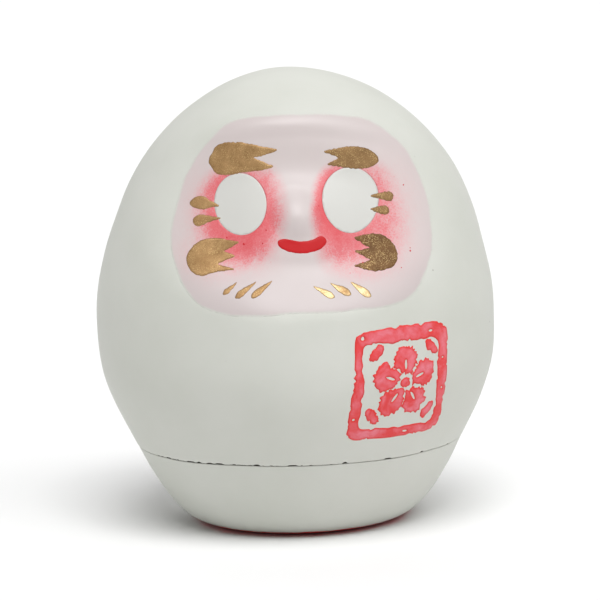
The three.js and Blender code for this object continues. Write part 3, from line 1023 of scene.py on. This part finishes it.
def make_films():
    eyes = list(EYES.values())
    border = waver(outline(PANEL, 0.6), 0.12, 9, 61)
    panel, flat = face_film("face_paint_layer", [border] + eyes, PANEL_THICKNESS, 0.4, face_paint(), 0.7,
                            -0.4)
    add_value(panel, "blush", np.tile(blush_at(flat - FACE_NUDGE), 2))
    add_value(panel, "border", np.tile(nearest_edge(flat - FACE_NUDGE, [border]), 2))
    dress(panel, "face_paint", "face_panel")
    white = eye_paint()
    for name, loop in EYES.items():
        eye, _ = face_film(name + "_white", [loop], EYE_THICKNESS, 0.5, white, 0.3, 0.95)
        dress(eye, "eye_paint", name)
    gold = gold_paint("gold_paint", srgb(150, 114, 70), srgb(186, 148, 100), 0.5, 0.5, 0.5)
    # Painted shade: darker copies of the gold for the marks on the right, which face away from the light;
    # the right cheek tuft gets the darkest.
    painted_shade_gold = gold_paint("painted_shade_gold", srgb(128, 96, 58), srgb(156, 122, 78), 0.6, 0.58, 0.4)
    painted_deep_shade_gold = gold_paint("painted_deep_shade_gold", srgb(100, 68, 34), srgb(126, 90, 50), 0.75, 0.6, 0.4)
    # Painted glint: a brighter, glossier copy of the gold for the right chin strokes, which face up into
    # the light.
    bright_gold = gold_paint("bright_gold", srgb(152, 114, 66), srgb(232, 206, 158), 0.8, 0.42, 0.5)
    for index, (name, points) in enumerate(GOLD_OUTLINES.items()):
        # Painted shade: the right-hand marks take the darker gold copies.
        coat = painted_shade_gold if "right" in name else gold
        if name == "cheek_tuft_right":
            coat = painted_deep_shade_gold
        edge = waver(outline(points), 0.07, 0.9, index)
        mark, _ = face_film(name + "_gold", [edge], GOLD_THICKNESS, 0.4, coat, 0.35)
        dress(mark, "gold_paint", name)
    for index, (name, (root, tip, width)) in enumerate(CHIN_STROKES.items()):
        # Painted glint: the right chin strokes take the brighter gold copy.
        coat = bright_gold if "right" in name else gold
        edge = waver(leaf(root, tip, width), 0.04, 0.8, 80 + index)
        mark, _ = face_film(name + "_gold", [edge], GOLD_THICKNESS, 0.25, coat)
        dress(mark, "gold_paint", name)
    red = mouth_paint()
    edge = waver(outline(MOUTH), 0.04, 1.5, 70)
    mouth, _ = face_film("mouth_red", [edge], MOUTH_THICKNESS, 0.35, red, 0.4)
    dress(mouth, "mouth_paint", "mouth")
    for index, (x, z, radius) in enumerate(SPECKS):
        edge = oval((x, z), radius, radius, 0.0, 0.12)
        drop, _ = face_film(f"speck_{index + 1}", [edge], DROP_THICKNESS, radius * 0.6, red, radius)
        dress(drop, "mouth_paint")
    ink = seal_ink()
    frame_loops = seal_frame_loops()
    stamped, _ = film("seal_frame_ink", frame_loops, INK_THICKNESS, INK_SPACING, ink, SEAL_HEADING)
    dress(stamped, "seal_ink", "seal_frame")
    flower_loops = seal_blossom_loops() + seal_leaf_loops()
    blossom, _ = film("seal_blossom_ink", flower_loops, INK_THICKNESS, INK_SPACING, ink, SEAL_HEADING)
    dress(blossom, "seal_ink", "seal_blossom")


def paint_inner_pieces():
    for name, material in (("clay_weight", clay()), ("glue_ring", glue())):
        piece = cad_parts[name]
        for material_slot in piece.material_slots:
            material_slot.material = material


# ---- Floor and light ----

FLOOR_REACH = 60.0  # metres from the doll to the floor's edges


def make_floor():
    mesh = bpy.data.meshes.new("floor")
    corners = [(x * FLOOR_REACH, y * FLOOR_REACH, 0) for x, y in ((-1, -1), (1, -1), (1, 1), (-1, 1))]
    mesh.from_pydata(corners, [], [(0, 1, 2, 3)])
    floor = bpy.data.objects.new("floor", mesh)
    bpy.context.collection.objects.link(floor)
    material = bpy.data.materials.new("floor")
    material.use_nodes = True
    shader = material.node_tree.nodes["Principled BSDF"]
    shader.inputs["Base Color"].default_value = (0.9, 0.9, 0.9, 1)
    shader.inputs["Roughness"].default_value = 0.5
    shader.inputs["Specular IOR Level"].default_value = 0
    mesh.materials.append(material)


# Soft suns stand in for big softboxes: direction towards the light, strength and angle across.
SUNS = [
    ("front", (0, -0.5, 1), 2.1, 36),
    ("right", (0.5, -0.5, 0.8), 0.85, 36),
    ("back", (0, 0.6, 0.8), 0.3, 50),
]

# The surroundings: how brightly they glow on each side.
GLOWS = [("X", 1, 0.36), ("X", -1, 0.37), ("Y", 1, 0.62)]


def make_suns():
    for name, direction, strength, angle in SUNS:
        data = bpy.data.lights.new(name, "SUN")
        data.energy = strength
        data.angle = math.radians(angle)
        light = bpy.data.objects.new(name, data)
        bpy.context.collection.objects.link(light)
        light.rotation_euler = Vector(direction).to_track_quat("Z", "Y").to_euler()


def make_surroundings():
    world = bpy.data.worlds.new("studio")
    world.use_nodes = True
    tree = world.node_tree
    direction = tree.nodes.new("ShaderNodeSeparateXYZ")
    tree.links.new(tree.nodes.new("ShaderNodeTexCoord").outputs["Generated"], direction.inputs[0])
    total = None
    for axis, side, glow in GLOWS:
        share = tree.nodes.new("ShaderNodeMapRange")
        share.inputs["From Max"].default_value = side
        share.inputs["To Max"].default_value = glow
        tree.links.new(direction.outputs[axis], share.inputs["Value"])
        if total is None:
            total = share.outputs["Result"]
        else:
            together = tree.nodes.new("ShaderNodeMath")
            tree.links.new(total, together.inputs[0])
            tree.links.new(share.outputs["Result"], together.inputs[1])
            total = together.outputs["Value"]
    tree.links.new(total, tree.nodes["Background"].inputs["Strength"])
    tree.nodes["Background"].inputs["Color"].default_value = (1, 1, 1, 1)
    bpy.context.scene.world = world
    bpy.context.scene.view_settings.view_transform = "Standard"


make_camera()
raw = raw_board()
shell = make_shell([white_paint("shell_white", False), raw])
dress(shell, "shell_paint", "body_shell")
bowl = make_bowl([white_paint("bowl_white", True), raw])
dress(bowl, "base_paint", "base_bowl")
make_films()
paint_inner_pieces()
make_floor()
make_suns()
make_surroundings()
